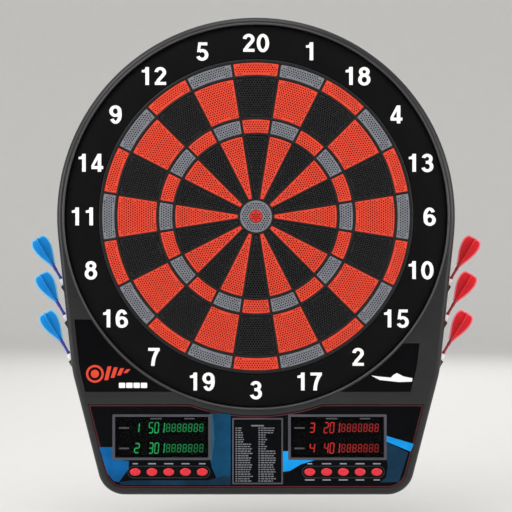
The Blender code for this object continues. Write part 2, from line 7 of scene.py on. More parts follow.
import json
import math
import random
from math import acos, asin, cos, hypot, pi, radians, sin, sqrt, tau

import bmesh
import bpy
from mathutils import Matrix, Vector
from mathutils.geometry import delaunay_2d_cdt

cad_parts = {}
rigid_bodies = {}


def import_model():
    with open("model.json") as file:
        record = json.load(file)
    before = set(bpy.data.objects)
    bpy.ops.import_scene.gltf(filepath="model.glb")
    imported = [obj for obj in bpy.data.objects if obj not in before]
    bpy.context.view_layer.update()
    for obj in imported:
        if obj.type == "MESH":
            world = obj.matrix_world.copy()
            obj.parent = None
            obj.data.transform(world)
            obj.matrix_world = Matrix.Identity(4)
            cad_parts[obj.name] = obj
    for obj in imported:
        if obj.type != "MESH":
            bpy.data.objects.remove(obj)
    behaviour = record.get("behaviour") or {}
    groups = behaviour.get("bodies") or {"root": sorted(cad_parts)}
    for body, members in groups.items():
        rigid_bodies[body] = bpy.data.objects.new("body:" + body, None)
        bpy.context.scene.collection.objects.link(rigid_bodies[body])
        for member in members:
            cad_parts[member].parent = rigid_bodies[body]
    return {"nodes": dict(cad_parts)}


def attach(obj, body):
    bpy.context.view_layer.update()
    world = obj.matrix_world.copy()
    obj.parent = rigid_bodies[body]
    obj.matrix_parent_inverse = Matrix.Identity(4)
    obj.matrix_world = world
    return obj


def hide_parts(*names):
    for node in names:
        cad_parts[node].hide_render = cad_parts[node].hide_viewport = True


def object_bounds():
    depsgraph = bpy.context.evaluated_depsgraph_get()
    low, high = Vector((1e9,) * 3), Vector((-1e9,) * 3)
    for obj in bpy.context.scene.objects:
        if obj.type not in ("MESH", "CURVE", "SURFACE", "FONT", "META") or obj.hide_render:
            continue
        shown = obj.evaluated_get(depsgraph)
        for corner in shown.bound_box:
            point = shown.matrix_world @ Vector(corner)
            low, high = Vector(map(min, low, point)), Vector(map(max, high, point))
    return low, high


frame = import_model()
cad_low, cad_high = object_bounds()

STAND_UP = Matrix.Rotation(radians(90), 4, "X")

# ---- sizes, as in the CAD

BEDS = 20
BED_ANGLE = tau / BEDS
BED_RINGS = {
    "inner_single": (0.0229, 0.1024),
    "treble": (0.1058, 0.1228),
    "outer_single": (0.1262, 0.1754),
    "double": (0.1788, 0.1946),
}
NUMBERS = (20, 1, 18, 4, 13, 6, 10, 15, 2, 17, 3, 19, 7, 16, 8, 11, 14, 9, 12, 5)
HALF_WALL = 0.001
CLEARANCE = 0.00035
BULL_RADIUS, INNER_BULL_RADIUS, BULL_GAP = 0.0204, 0.0077, 0.0005
BED_FRONT, BULL_FRONT, INNER_BULL_FRONT = 0.032, 0.0323, 0.0328
SPIDER_BACK, SPIDER_FRONT, SPIDER_RADIUS = 0.018, 0.033, 0.199

TOP_RADIUS = 0.2515
UPPER_LEAN, LOWER_LEAN = radians(6.0), radians(14.4)
BEND_Y, BEND_RADIUS, CORNER_RADIUS, BOTTOM = -0.195, 0.15, 0.034, -0.3515
DECK_FRONT, WELL_RADIUS, RIM_RADIUS = 0.038, 0.2412, 0.251
PANEL_TOP, PANEL_INSET, PANEL_LEDGE, PANEL_FRONT = -0.237, 0.0095, 0.0358, 0.0377
WINDOW_SIZE = (0.117, 0.051)
WINDOWS = {"left": (-0.1188, -0.2782), "right": (0.1025, -0.2782)}
BUTTON_SIZE, BUTTON_PITCH, BUTTON_Y = (0.0136, 0.0096), 0.0211, -0.322
BUTTON_BANKS = {"left": -0.1099, "right": 0.1099}
DART_LEAN = radians(30.5)
DART_ENTRIES = ((0.2434, -0.0882, 0.016), (0.2385, -0.1339, 0.019), (0.2326, -0.1832, 0.022))
# For each side, a shoulder's distance from the casing's edge and the height of its top.
SHOULDERS = {-1: (0.0103, -0.13), 1: (0.03, -0.16)}
SHOULDER_BOTTOM, SHOULDER_RADIUS, SHOULDER_FLOOR = -0.221, 0.245, 0.0366

# ---- materials


def linear(srgb):
    """The scene colour of an sRGB colour given as 0 to 255."""

    def channel(c):
        c /= 255
        return c / 12.92 if c <= 0.04045 else ((c + 0.055) / 1.055) ** 2.4

    return tuple(channel(c) for c in srgb)


def set_inputs(node, values):
    for name, value in values.items():
        node.inputs[name].default_value = value
    return node


def moulded(
    name, srgb, roughness, grain=0.35, vary=0.12, scale=900, bump=0.05, specular=0.5, coat=0.0, metallic=0.0
):
    """Plastic, rubber or metal: a fine grain in its relief, and a little variation in colour and gloss."""
    made = bpy.data.materials.new(name)
    made.use_nodes = True
    nodes, link = made.node_tree.nodes, made.node_tree.links.new
    finish = {"Metallic": metallic, "Specular IOR Level": specular, "Coat Weight": coat}
    shader = set_inputs(nodes["Principled BSDF"], finish | {"Coat Roughness": 0.12})
    place = nodes.new("ShaderNodeTexCoord").outputs["Object"]

    broad = set_inputs(nodes.new("ShaderNodeTexNoise"), {"Scale": 28.0, "Detail": 4.0})
    link(place, broad.inputs["Vector"])
    tone = nodes.new("ShaderNodeValToRGB")
    colour = linear(srgb)
    for stop, position, share in zip(tone.color_ramp.elements, (0.35, 0.65), (1 - vary, 1 + vary)):
        stop.position = position
        stop.color = (*[min(c * share, 1) for c in colour], 1)
    link(broad.outputs["Fac"], tone.inputs["Fac"])
    link(tone.outputs["Color"], shader.inputs["Base Color"])

    fine = set_inputs(nodes.new("ShaderNodeTexNoise"), {"Scale": scale, "Detail": 2.0})
    link(place, fine.inputs["Vector"])
    spread = {"To Min": roughness * (1 - grain / 2), "To Max": min(roughness * (1 + grain / 2), 1)}
    gloss = set_inputs(nodes.new("ShaderNodeMapRange"), spread)
    link(fine.outputs["Fac"], gloss.inputs["Value"])
    link(gloss.outputs["Result"], shader.inputs["Roughness"])
    relief = set_inputs(nodes.new("ShaderNodeBump"), {"Strength": bump, "Distance": 0.0002})
    link(fine.outputs["Fac"], relief.inputs["Height"])
    link(relief.outputs["Normal"], shader.inputs["Normal"])
    return made


def printed(name, srgb, vary=0.12, roughness=0.25, bump=0.03, specular=0.1):
    """Printed film, smoother and duller than the mouldings."""
    return moulded(name, srgb, roughness, vary=vary, bump=bump, specular=specular)


def glowing(name, srgb):
    """A lit display segment, whose glow varies with its colour."""
    made = moulded(name, srgb, 0.35, vary=0.3)
    shader = made.node_tree.nodes["Principled BSDF"]
    colour = shader.inputs["Base Color"].links[0].from_socket
    made.node_tree.links.new(colour, shader.inputs["Emission Color"])
    shader.inputs["Emission Strength"].default_value = 0.65
    return made


CASE = moulded("case_plastic", (24, 23, 25), 0.34, bump=0.1, scale=1400, specular=0.42)
# A lighter copy of the casing plastic for the bead round the well: a painted highlight along the rim.
RIM_PAINTED_HIGHLIGHT = moulded("rim_painted_highlight", (40, 39, 42), 0.34, bump=0.1, scale=1400, specular=0.7)
CASE_BACK = moulded("rear_plastic", (36, 36, 38), 0.5, bump=0.15, scale=1200, specular=0.35)
RING = moulded("ring_plastic", (12, 12, 13), 0.45, bump=0.12, scale=1300, specular=0.06)
SPIDER = moulded("spider_plastic", (22, 21, 22), 0.38, specular=0.25)
RED = moulded("red_bed", (213, 63, 40), 0.5, vary=0.06, specular=0.3)
CENTRE_RED = moulded("centre_red", (197, 40, 31), 0.5, vary=0.06, specular=0.3)
DARK = moulded("dark_bed", (24, 23, 25), 0.5, specular=0.2)
GREY = moulded("grey_bed", (113, 115, 122), 0.5, vary=0.07, specular=0.3)
STICKER = moulded("blank_sticker", (150, 151, 153), 0.45, vary=0.04, bump=0.02)
WHITE = moulded("white_print", (240, 240, 238), 0.55, vary=0.03, specular=0.3)
SCREW = moulded("screw_steel", (120, 120, 122), 0.35, metallic=1.0)
GLOSS = moulded("shoulder_gloss", (6, 6, 8), 0.16, grain=0.2, bump=0.02, specular=0.06)
PRINT = moulded("panel_print", (5, 6, 9), 0.25, grain=0.3, bump=0.03, specular=0.05)
TEAL = printed("print_teal", (8, 62, 94), 0.3)
TEAL_EDGE = printed("print_teal_edge", (36, 84, 104), 0.2)
NAVY = printed("print_navy", (12, 44, 66), 0.3)
BLUE = printed("print_blue", (6, 86, 144), 0.3)
SKY = printed("print_sky", (6, 140, 214), 0.2, specular=0.15)
MAROON = printed("print_maroon", (78, 30, 36), 0.15, 0.3, specular=0.15)
FRAME_GREY = printed("print_grey", (70, 70, 77), roughness=0.3, specular=0.2)
TEXT_GREY = printed("print_text", (140, 142, 148), 0.1, 0.35, 0.05, 0.2)
MENU_GREY = printed("print_menu", (112, 113, 119), 0.1, 0.35, 0.05, 0.2)
PILL = printed("button_surround", (3, 3, 4), roughness=0.3)
BUTTON = moulded("button_red", (214, 24, 44), 0.28, vary=0.08, coat=0.2)
MODULE = moulded("display_module", (4, 4, 5), 0.6, grain=0.1, bump=0.0, specular=0.08)
GREEN_LED = glowing("green_segments", (38, 205, 112))
RED_LED = glowing("red_segments", (232, 50, 46))
DIM_GREEN = glowing("green_marks", (22, 145, 80))
DIM_RED = glowing("red_marks", (165, 36, 34))
LENS = moulded("smoked_lens", (6, 6, 7), 0.25, grain=0.1, vary=0.03, scale=200, bump=0.0, specular=0.04)
set_inputs(LENS.node_tree.nodes["Principled BSDF"], {"Alpha": 0.25})  # the lit digits show through it
BARREL = moulded("barrel_metal", (205, 205, 203), 0.22, metallic=1.0, grain=0.5)
COLLAR = moulded("barrel_collar", (232, 232, 230), 0.35, vary=0.04, coat=0.2)
TIP = moulded("dart_tip", (25, 25, 26), 0.4)

# ---- flat shapes


def oval(centre, reach, angles):
    return [(centre[0] + reach[0] * cos(a), centre[1] + reach[1] * sin(a)) for a in angles]


def arc(centre, radius, start, end, steps):
    return oval(centre, (radius, radius), [start + (end - start) * k / steps for k in range(steps + 1)])


def circle(radius, steps, centre=(0, 0)):
    return oval(centre, (radius, radius), [tau * (k + 0.5) / steps for k in range(steps)])


def ellipse(centre, size, steps=48):
    return oval(centre, (size[0] / 2, size[1] / 2), [tau * k / steps for k in range(steps)])


def box_about(centre, size, radius=0.0):
    """A rectangle, with rounded corners if a radius is given."""
    (x, y), (w, h) = centre, size
    loop = []
    for sx, sy, angle in ((1, -1, -90), (1, 1, 0), (-1, 1, 90), (-1, -1, 180)):
        middle = (x + sx * (w / 2 - radius), y + sy * (h / 2 - radius))
        loop += arc(middle, radius, radians(angle), radians(angle + 90), 5) if radius else [middle]
    return loop


def turned_loop(loop, angle):
    c, s = cos(angle), sin(angle)
    return [(x * c - y * s, x * s + y * c) for x, y in loop]


def area(loop):
    return sum(x0 * y1 - x1 * y0 for (x0, y0), (x1, y1) in zip(loop, loop[1:] + loop[:1])) / 2


def offset(loop, distance):
    """The loop moved inwards by a distance, or outwards if the distance is negative."""
    sign = 1 if area(loop) > 0 else -1
    count = len(loop)
    moved = []
    for k, (x, y) in enumerate(loop):
        x0, y0 = loop[k - 1]
        x1, y1 = loop[(k + 1) % count]
        a = Vector((x - x0, y - y0)).normalized()
        b = Vector((x1 - x, y1 - y)).normalized()
        normal_a, normal_b = Vector((-a.y, a.x)) * sign, Vector((-b.y, b.x)) * sign
        middle = (normal_a + normal_b) / max(1 + normal_a.dot(normal_b), 0.3)
        moved.append((x + middle.x * distance, y + middle.y * distance))
    return moved


def tangent_centre(first, second):
    """The point whose distances along two directions, each (lean, distance), are the ones given."""
    (lean_1, reach_1), (lean_2, reach_2) = first, second
    scale = sin(lean_1 - lean_2)
    x = (reach_2 * sin(lean_1) - reach_1 * sin(lean_2)) / scale
    y = (reach_2 * cos(lean_1) - reach_1 * cos(lean_2)) / scale
    return x, y


def casing_outline(inset):
    """A round top, sides that lean in and bend, and rounded bottom corners, all inset by a distance."""
    bend_x = (TOP_RADIUS + BEND_Y * sin(UPPER_LEAN)) / cos(UPPER_LEAN)
    lower_reach = bend_x * cos(LOWER_LEAN) - BEND_Y * sin(LOWER_LEAN)
    bend = tangent_centre((UPPER_LEAN, TOP_RADIUS - BEND_RADIUS), (LOWER_LEAN, lower_reach - BEND_RADIUS))
    corner_y = BOTTOM + CORNER_RADIUS
    corner_x = (lower_reach - CORNER_RADIUS + corner_y * sin(LOWER_LEAN)) / cos(LOWER_LEAN)
    right = arc((0, 0), TOP_RADIUS - inset, pi / 2, -UPPER_LEAN, 80)
    right += arc(bend, BEND_RADIUS - inset, -UPPER_LEAN, -LOWER_LEAN, 10)
    right += arc((corner_x, corner_y), CORNER_RADIUS - inset, -LOWER_LEAN, -pi / 2, 18)
    left = [(-x, y) for x, y in reversed(right[1:])]
    return right + left


def casing_edge(inset):
    """The right side of the inset outline, from the top down, and a function for its x at a height."""
    points = sorted((p for p in casing_outline(inset) if p[0] >= 0), key=lambda p: -p[1])

    def at(y):
        for (x0, y0), (x1, y1) in zip(points, points[1:]):
            if y0 >= y >= y1 and y0 > y1:
                return x0 + (x1 - x0) * (y0 - y) / (y0 - y1)
        return points[-1][0]

    return points, at


def shoulder(side, inset=0.0):
    """The dark inlay between the target's rim and the side of the casing."""
    edge_gap, top = SHOULDERS[side]
    low, high, radius = SHOULDER_BOTTOM + inset, top - inset, SHOULDER_RADIUS + inset
    points, at = casing_edge(edge_gap + inset)
    loop = [(at(high), high)] + [p for p in points if low < p[1] < high] + [(at(low), low)]
    loop += arc((0, 0), radius, asin(low / radius), asin(high / radius), 24)
    return [(side * x, y) for x, y in loop]


def panel(inset=0.0):
    """The control panel's outline, with a bite for the target's rim."""
    top, floor, radius = PANEL_TOP - inset, BOTTOM + PANEL_INSET + inset, RIM_RADIUS + inset
    points, at = casing_edge(PANEL_INSET + inset)
    right = [(at(top), top)] + [p for p in points if floor + 1e-6 < p[1] < top]
    corner = [p for p in points if p[1] <= floor + 1e-6]
    right.append((max(p[0] for p in corner), floor))
    bite = acos(-top / radius)
    left = [(-x, y) for x, y in reversed(right)]
    return right + left + arc((0, 0), radius, -pi / 2 - bite, -pi / 2 + bite, 40)


def bed(inner, outer):
    """One bed, centred on +y, whose sides run parallel to the radial walls beside it."""

    def across(radius, steps):
        half = BED_ANGLE / 2 - asin((HALF_WALL + CLEARANCE) / radius)
        return arc((0, 0), radius, pi / 2 - half, pi / 2 + half, steps)

    steps = max(4, int(outer * BED_ANGLE / 0.004))
    return across(outer, steps) + across(inner, max(2, int(inner * BED_ANGLE / 0.004)))[::-1]


# ---- building shells


SHARP = radians(32)  # edges sharper than this are drawn sharp
ROUND_STEPS = 240


class Shell:
    """A mesh built from loops: strips between them, and flat faces with holes and printed regions."""

    def __init__(self):
        self.points, self.faces, self.slots = [], [], []

    def loop(self, points, depth):
        start = len(self.points)
        self.points += [(x, y, depth) for x, y in points]
        return list(range(start, len(self.points)))

    def strip(self, a, b, slot=0):
        count = len(a)
        for k in range(count):
            n = (k + 1) % count
            self.faces.append((a[k], a[n], b[n], b[k]))
            self.slots.append(slot)

    def rings(self, loops, slot=0):
        """Strips between successive loops, each (points, depth). It returns every loop."""
        ids = [self.loop(points, depth) for points, depth in loops]
        for a, b in zip(ids, ids[1:]):
            self.strip(a, b, slot)
        return ids

    def wall(self, loops, slot=0):
        """The same strips, but it returns only the last loop."""
        return self.rings(loops, slot)[-1]

    def cap(self, ids, slot=0):
        self.faces.append(tuple(ids))
        self.slots.append(slot)

    def flat(self, outline, holes=(), slot=0, regions=()):
        """A flat face between a loop and its holes. Regions, as (points, slot), go over it in order."""
        loops = [[self.points[k][:2] for k in ids] for ids in (outline, *holes)]
        loops += [list(points) for points, _ in regions]
        corners, given = [], []
        for points in loops:
            order = list(range(len(corners), len(corners) + len(points)))
            given.append(order if area(points) > 0 else order[::-1])
            corners += [Vector(p) for p in points]
        made, _, faces, origins, _, owners = delaunay_2d_cdt(corners, [], given, 1, 1e-7)
        known = [k for ids in (outline, *holes) for k in ids]
        depth = self.points[outline[0]][2]
        index = []
        for point, sources in zip(made, origins):
            source = next((s for s in sources if s < len(known)), None)
            index.append(self.loop([point], depth)[0] if source is None else known[source])
        hole_ids = set(range(1, 1 + len(holes)))
        for face, inside in zip(faces, owners):
            if 0 not in inside or hole_ids & set(inside):
                continue
            region = max((k for k in inside if k > len(holes)), default=None)
            self.faces.append(tuple(index[k] for k in face))
            self.slots.append(slot if region is None else regions[region - 1 - len(holes)][1])

    def raised(self, back, front, slot, *loops):
        """A block between two depths, with any loops after the first as holes through it."""
        rim, *holes = [self.wall([(loop, back), (loop, front)], slot) for loop in loops]
        self.flat(rim, holes, slot)

    def mesh(self, name, materials, angle=SHARP, transform=STAND_UP):
        made = bpy.data.meshes.new(name)
        made.from_pydata(self.points, [], self.faces)
        for surface in materials:
            made.materials.append(surface)
        made.polygons.foreach_set("material_index", self.slots)
        work = bmesh.new()
        work.from_mesh(made)
        bmesh.ops.recalc_face_normals(work, faces=work.faces)
        work.to_mesh(made)
        work.free()
        if transform:
            made.transform(transform)
        made.shade_smooth()
        made.set_sharp_from_angle(angle=angle)
        return made

    def show(self, name, materials, body, slot, replaces=(), angle=SHARP, matrix=None):
        """Makes this shell a piece: drawn lying down and stood up, or placed as it is by a matrix."""
        mesh = self.mesh(name, materials, angle, None if matrix else STAND_UP)
        return show(name, mesh, body, slot, replaces, matrix=matrix)


def link(obj):
    bpy.context.scene.collection.objects.link(obj)


def show(name, mesh, body, slot, replaces=(), turn=0.0, matrix=None):
    """Puts a mesh in the scene as a piece that moves with a CAD body."""
    obj = bpy.data.objects.new(name, mesh)
    link(obj)
    obj.rotation_euler = (0, turn, 0)
    if matrix:
        obj.matrix_world = matrix
    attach(obj, body)
    if replaces:
        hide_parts(*replaces)
    return obj


def lathe(shell, profile, steps, slots=None):
    """A turned surface, closed where the profile's radius is 0, with a slot for each of its strips."""
    ids = []
    for radius, depth in profile:
        ids.append(shell.loop(circle(radius, steps) if radius else [(0, 0)], depth))
    for row, (a, b) in enumerate(zip(ids, ids[1:])):
        part = slots[row] if slots else 0
        if len(a) == len(b):
            shell.strip(a, b, part)
            continue
        tip, ring = (a[0], b) if len(a) == 1 else (b[0], a)
        for k in range(steps):
            shell.cap((ring[k], ring[(k + 1) % steps], tip), part)


# ---- target

HOLE_PITCH, HOLE_MARGIN, HOLE_SIDES = 0.0032, 0.0005, 8
HOLE_MOUTH = 0.00105
HOLE_FUNNEL = ((HOLE_MOUTH, 0), (0.00085, 0.0005), (0.000765, 0.0042))
BED_BACK, BORE_BACK = 0.0172, 0.02


def distance_to(loop, x, y):
    """Distance from a point to the nearest edge of a loop, negative outside it."""
    nearest, crossings = 1e9, 0
    for (x0, y0), (x1, y1) in zip(loop, loop[1:] + loop[:1]):
        dx, dy = x1 - x0, y1 - y0
        t = max(0.0, min(1.0, ((x - x0) * dx + (y - y0) * dy) / (dx * dx + dy * dy)))
        nearest = min(nearest, hypot(x - x0 - t * dx, y - y0 - t * dy))
        if (y0 > y) != (y1 > y) and x < x0 + (y - y0) * dx / dy:
            crossings += 1
    return nearest if crossings % 2 else -nearest


def pierced(shell, edge, bore=(), pitch=HOLE_PITCH):
    """Closes a loop, round a bore if there is one, with a face full of small funnelled holes."""
    outline, bore_outline = ([shell.points[k][:2] for k in ids] for ids in (edge, bore))
    depth, room = shell.points[edge[0]][2], HOLE_MOUTH + HOLE_MARGIN
    xs, ys = [p[0] for p in outline], [p[1] for p in outline]
    rows = pitch * sqrt(3) / 2
    middle = (min(ys) + max(ys)) / 2
    mouths = []
    first = math.ceil((min(ys) - middle) / rows)
    for j in range(first, math.floor((max(ys) - middle) / rows) + 1):
        y = middle + j * rows
        shift = pitch / 2 if j % 2 else 0.0
        for i in range(math.floor(min(xs) / pitch) - 1, math.ceil(max(xs) / pitch) + 1):
            x = i * pitch + shift
            if distance_to(outline, x, y) < room or bore and -distance_to(bore_outline, x, y) < room:
                continue
            ids = shell.rings([(circle(r, HOLE_SIDES, (x, y)), depth - low) for r, low in HOLE_FUNNEL])
            shell.cap(ids[-1])
            mouths.append(ids[0])
    shell.flat(edge, mouths + ([bore] if bore else []))


def rounded(loop, back, front, radius=0.0006, side=1):
    """Loops of a wall and its rounded front edge: a block's for side 1, or a hole's for side -1."""
    loops = [(loop, back), (loop, front - radius)]
    for a in (radians(30), radians(60), radians(90)):
        loops.append((offset(loop, side * radius * (1 - cos(a))), front - radius + radius * sin(a)))
    return loops


def chamfered(loop, back, front, size, side=1):
    """The same with a plain chamfer for the rounded edge."""
    return [(loop, back), (loop, front - size), (offset(loop, side * size), front)]


def opened(hole, back, front, first, last):
    """Loops of a hole's wall whose mouth opens outwards in two steps."""
    loops = [(hole, back), (hole, front - 0.0006)]
    return loops + [(offset(hole, -first), front - 0.0002), (offset(hole, -last), front)]


def make_beds():
    red, dark, grey = ("red_bed", RED), ("dark_bed", DARK), ("grey_bed", GREY)
    for ring, (inner, outer) in BED_RINGS.items():
        shell = Shell()
        pierced(shell, shell.wall(rounded(bed(inner, outer), BED_BACK, BED_FRONT)))
        pair = (dark, red) if ring.endswith("single") else (red, grey)
        kinds = [(slot, shell.mesh(f"{ring}_{slot}", [surface])) for slot, surface in pair]
        for k, number in enumerate(NUMBERS):
            slot, mesh = kinds[k % 2]
            body = f"segments_{number:02d}"
            show(f"{ring}_{number:02d}", mesh, body, slot, [body], turn=k * BED_ANGLE)


def make_bulls():
    outline, hole = circle(BULL_RADIUS, 72), circle(INNER_BULL_RADIUS + BULL_GAP, 48)
    shell = Shell()
    top = shell.wall(rounded(outline, BED_BACK, BULL_FRONT))
    pierced(shell, top, shell.wall(opened(hole, BORE_BACK, BULL_FRONT, 0.0002, 0.0005)), 0.0031)
    shell.show("bull_outer", [GREY], "outer_bull", "grey_bed", ["outer_bull"])
    shell = Shell()
    outline = circle(INNER_BULL_RADIUS, 48)
    pierced(shell, shell.wall(rounded(outline, BED_BACK, INNER_BULL_FRONT)), pitch=0.003)
    shell.show("bull_inner", [CENTRE_RED], "inner_bull", "red_bed", ["inner_bull"])


def make_spider():
    """The web of thin walls round the beds, with rounded crests."""
    holes = [circle(BULL_RADIUS + CLEARANCE, 72)]
    for k in range(BEDS):
        for inner, outer in BED_RINGS.values():
            grown = offset(bed(inner, outer), -CLEARANCE)
            holes.append(turned_loop(grown, k * BED_ANGLE))
    shell = Shell()
    top = shell.wall(chamfered(circle(SPIDER_RADIUS, ROUND_STEPS), SPIDER_BACK, SPIDER_FRONT, 0.0005))
    walls = [opened(hole, SPIDER_BACK, SPIDER_FRONT, 0.00018, 0.00055) for hole in holes]
    shell.flat(top, [shell.wall(loops) for loops in walls])
    shell.show("spider_web", [SPIDER], "board", "spider_plastic", ["spider"], radians(50))


RING_FRONT, NUMERAL_RADIUS = 0.0336, 0.2192


def make_number_ring():
    """A flat ring with rounded edges, and a rib behind it that stands on the casing."""
    profile = [(0.1994, 0.03), (0.1994, 0.0331), (0.1997, 0.0335), (0.2004, RING_FRONT)]
    profile += [(0.2396, RING_FRONT), (0.2404, 0.0333), (0.2408, 0.0327), (0.2408, 0.0303), (0.225, 0.0303)]
    profile += [(0.225, 0.0211), (0.2222, 0.0211), (0.2222, 0.0303), (0.1994, 0.03)]
    shell = Shell()
    lathe(shell, profile, ROUND_STEPS)
    shell.show("number_ring_face", [RING], "board", "ring_plastic", ["number_ring"])
    for k, number in enumerate(NUMBERS):
        angle = pi / 2 - k * BED_ANGLE
        make_numeral(number, (NUMERAL_RADIUS * cos(angle), NUMERAL_RADIUS * sin(angle)))


# The numerals are drawn with an oval pen on a cell one unit high.
PEN_X, PEN_Y = 0.1, 0.083
NUMERAL_HEIGHT, NUMERAL_ADVANCE = 0.0226, 0.783
NUMERAL_RISE, NUMERAL_THICKNESS = 0.00008, 0.00016


def bow(x, y, half_width, half_height, start=0, end=360):
    """Points along an oval arc between two angles in degrees."""
    steps = max(8, int(abs(end - start) / 8))
    angles = [radians(start + (end - start) * k / steps) for k in range(steps + 1)]
    return oval((x, y), (half_width, half_height), angles)


def pen_stroke(path):
    """The outline that the oval pen leaves along a path, with square ends."""
    left, right = [], []
    for k, (x, y) in enumerate(path):
        x0, y0 = path[max(k - 1, 0)]
        x1, y1 = path[min(k + 1, len(path) - 1)]
        along = Vector((x1 - x0, y1 - y0)).normalized()
        reach = hypot(PEN_X * along.y, PEN_Y * along.x)
        dx, dy = -(PEN_X**2) * along.y / reach, PEN_Y**2 * along.x / reach
        left.append((x + dx, y + dy))
        right.append((x - dx, y - dy))
    return left + right[::-1]


def bowl(*oval_ring):
    """A closed oval ring, as two paths that overlap at their ends."""
    return [bow(*oval_ring, -5, 185), bow(*oval_ring, 175, 365)]


def numeral_strokes():
    """The loops of each digit, which overlap and are joined later."""
    swan = bow(0.335, 0.7, 0.225, 0.218, 175, -20) + [(0.44, 0.49), (0.25, 0.28), (0.13, 0.083)]
    upper, lower = bow(0.33, 0.7215, 0.205, 0.1965, 165, -90), bow(0.335, 0.29, 0.24, 0.235, 90, -165)
    stem = [(0.565, 0.9), (0.45, 0.7), (0.35, 0.45), (0.3, 0.2), (0.285, 0)]
    six = [bow(0.345, 0.487, 0.245, 0.43, 35, 220), *bowl(0.352, 0.295, 0.24, 0.24)]
    paths = {
        "0": bowl(0.345, 0.487, 0.245, 0.43),
        "1": [[(0.385, 0), (0.385, 1)]],
        "2": [swan, [(0.03, 0.083), (0.66, 0.083)]],
        "3": [upper, [(0.25, 0.525), (0.36, 0.525)], lower],
        "4": [[(0.47, 0), (0.47, 1)], [(0.02, 0.235), (0.68, 0.235)]],
        "5": [[(0.13, 0.917), (0.62, 0.917)], bow(0.335, 0.3, 0.245, 0.245, 135, -160)],
        "6": six,
        "7": [[(0.03, 0.917), (0.665, 0.917)], stem],
        "8": bowl(0.345, 0.735, 0.2, 0.183) + bowl(0.345, 0.29, 0.245, 0.245),
        "9": [[(0.69 - x, 0.974 - y) for x, y in path] for path in six],
    }
    strokes = {digit: [pen_stroke(path) for path in group] for digit, group in paths.items()}
    flag = [(0.085, 0.7), (0.085, 0.83), (0.195, 0.845), (0.26, 0.89), (0.293, 1), (0.385, 1), (0.385, 0.7)]
    strokes["1"].append(flag)
    strokes["4"].append([(0.37, 1), (0.47, 1), (0.47, 0.87), (0.155, 0.3), (0.02, 0.3), (0.02, 0.345)])
    strokes["5"].append([(0.125, 1), (0.27, 1), (0.225, 0.56), (0.2, 0.47), (0.05, 0.445)])
    return strokes


def make_numeral(number, centre):
    """A printed numeral, upright and bold, a fraction of a millimetre proud of the ring."""
    strokes = numeral_strokes()
    loops = []
    for place, digit in enumerate(str(number)):
        for loop in strokes[digit]:
            moved = [(x + place * NUMERAL_ADVANCE, y) for x, y in loop]
            loops.append(moved if area(moved) > 0 else moved[::-1])
    xs = [x for loop in loops for x, _ in loop]
    middle = Vector(((min(xs) + max(xs)) / 2, 0.5))
    corners, given = [], []
    for loop in loops:
        given.append(list(range(len(corners), len(corners) + len(loop))))
        corners += [(Vector(p) - middle) * NUMERAL_HEIGHT + Vector(centre) for p in loop]
    points, _, faces, _, _, owners = delaunay_2d_cdt(corners, [], given, 1, 1e-7)
    work = bmesh.new()
    verts = [work.verts.new((*p, RING_FRONT + NUMERAL_RISE)) for p in points]
    for face, inside in zip(faces, owners):
        if inside:
            work.faces.new([verts[k] for k in face])
    bmesh.ops.delete(work, geom=[v for v in work.verts if not v.link_faces], context="VERTS")
    bmesh.ops.dissolve_limit(work, angle_limit=0.01, verts=work.verts, edges=work.edges)
    grown = bmesh.ops.extrude_face_region(work, geom=list(work.faces))
    foot = [v for v in grown["geom"] if isinstance(v, bmesh.types.BMVert)]
    bmesh.ops.translate(work, vec=(0, 0, -NUMERAL_THICKNESS), verts=foot)
    bmesh.ops.recalc_face_normals(work, faces=work.faces)
    mesh = bpy.data.meshes.new(f"numeral_{number:02d}")
    work.to_mesh(mesh)
    work.free()
    mesh.transform(STAND_UP)
    mesh.materials.append(WHITE)
    show(f"numeral_{number:02d}", mesh, "board", "ring_plastic")


# ---- casing

BOSS_ANGLES = (10, 35, 62, 90, 118, 145, 170)
LOW_BOSSES = ((0.2066, -0.262), (0.15, -0.3443), (0.03, -0.3443))
KEYHOLES = ((-0.13, 0.095), (0.13, 0.095))
SPEAKER = (0.07, -0.292)


def screw_places():
    radius = TOP_RADIUS - 0.0072
    upper = oval((0, 0), (radius, radius), [radians(a) for a in BOSS_ANGLES])
    return upper + [(side * x, y) for side in (-1, 1) for x, y in LOW_BOSSES]


CASE_BACK_EDGE, CASE_ROUNDING = 0.0084, 0.007
BEAD_WIDTH, BEAD_SINK, BEAD_RISE = 0.0031, 0.0006, 0.0019
JACK_X, JACK_DEPTH, JACK_HOLE = -0.09, 0.0165, 0.0045


def rim_wall(shell):
    """The well's wall round the target, with a half-round bead at its mouth, coloured lighter than the
    casing as a painted highlight.
    """
    sleeve = [(0.236, 0.0274), (0.236, 0.03), (WELL_RADIUS, 0.03), (WELL_RADIUS, 0.0372)]
    bead = []
    for k in range(1, 10):
        a = pi * k / 10
        radius = WELL_RADIUS + BEAD_WIDTH * (1 - cos(a)) / 2
        bead.append((radius, DECK_FRONT - BEAD_SINK + BEAD_RISE * sin(a)))
    bead.append((WELL_RADIUS + BEAD_WIDTH, DECK_FRONT))
    well = shell.wall([(circle(radius, ROUND_STEPS), depth) for radius, depth in sleeve])
    for radius, depth in bead:
        ring = shell.loop(circle(radius, ROUND_STEPS), depth)
        # The bead takes the third material, the lighter rim plastic: a painted highlight.
        shell.strip(well, ring, 2)
        well = ring
    return well


